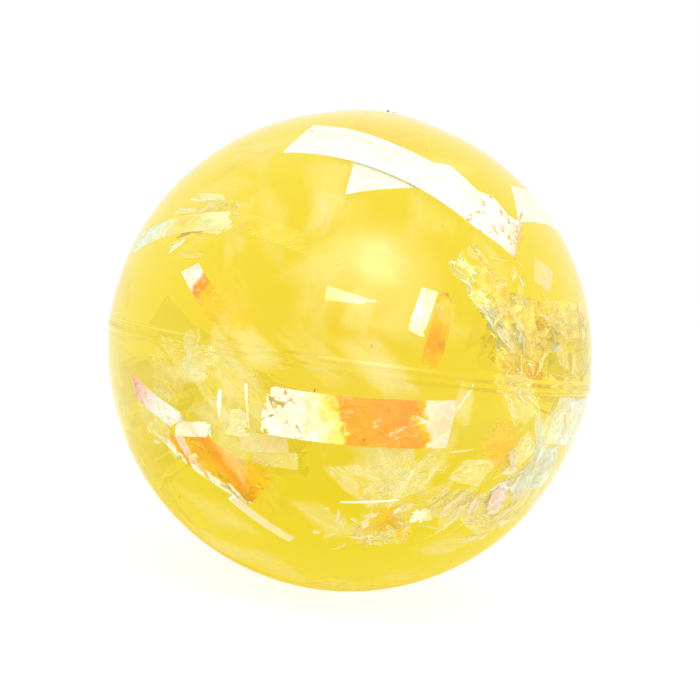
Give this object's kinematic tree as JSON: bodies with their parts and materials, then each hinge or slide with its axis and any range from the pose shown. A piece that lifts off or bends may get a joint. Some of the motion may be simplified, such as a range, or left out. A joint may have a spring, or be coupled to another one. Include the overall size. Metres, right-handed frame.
{
  "type": "bouncy ball",
  "caption": "Clear round bouncy ball: two shell halves welded at the equator round a yellow gel core, in which crinkled strips of iridescent film are set.",
  "frame": {"origin": "centre of the ball, in the plane of the seam", "axes": "+Z runs from the lower pole to the pole with the filling plug, -Y is the side that the picture shows, +X is to the right in that view"},
  "size_m": [0.1004, 0.1004, 0.1005],
  "materials": {
    "clear_shell": "clear, glossy, faintly yellow soft vinyl",
    "weld": "clear glossy weld bead",
    "plug": "clear plug with a torn tip",
    "gel": "clear bright yellow gel with fine bubbles",
    "white_film": "iridescent film, silvery white with pale green and pink",
    "pale_film": "iridescent film, pale yellow, crinkled",
    "pink_film": "iridescent film, pale pink",
    "amber_film": "iridescent film, deep yellow",
    "orange_film": "iridescent film, orange with pink and white",
    "olive_film": "iridescent film, grey green, crumpled"
  },
  "bodies": {
    "root": {"upper_shell": "clear_shell", "lower_shell": "clear_shell", "seam_weld": "weld", "fill_plug": "plug", "gel_core": "gel", "long_white_strip": "white_film", "under_crossing_strip": "pale_film", "edge_white_strip": "white_film", "pink_corner_strip": "pink_film", "top_wedge_strip": "amber_film", "diagonal_crumple": "pale_film", "side_crumple": "pale_film", "orange_crumple": "orange_film", "olive_crumple": "olive_film", "curved_white_strip": "white_film", "amber_strip": "amber_film", "silver_sliver": "white_film", "lemon_strip": "amber_film", "orange_tab_strip": "orange_film", "faint_strip": "pale_film", "pale_upright_strip": "pale_film", "orange_upright_strip": "orange_film", "front_orange_strip": "orange_film", "left_sliver": "white_film", "middle_sliver": "white_film", "slanted_sliver": "white_film", "pale_patch": "pale_film", "pink_edge_strip": "pink_film", "white_tip_strip": "white_film", "orange_fold_strip": "orange_film", "thin_pale_strip": "pale_film", "upper_faint_patch": "pale_film", "lower_faint_patch": "pale_film", "glint_strip": "white_film", "orange_patch": "orange_film", "base_crumple": "pale_film", "orange_block": "orange_film", "tall_edge_strip": "white_film", "wide_edge_strip": "white_film", "pink_lower_strip": "pink_film", "lower_crumple": "pale_film", "pale_chip": "pale_film", "corner_crumple": "pale_film", "back_long_strip": "white_film", "back_orange_strip": "orange_film", "back_crumple": "pale_film", "back_pink_strip": "pink_film", "back_low_strip": "white_film", "right_edge_strip": "white_film", "right_low_strip": "orange_film", "left_back_strip": "white_film", "left_low_crumple": "pale_film", "back_top_strip": "pink_film", "back_left_strip": "white_film", "base_strip": "white_film", "left_high_strip": "amber_film", "inner_curl": "pale_film", "inner_fold": "white_film"}
  },
  "joints": []
}
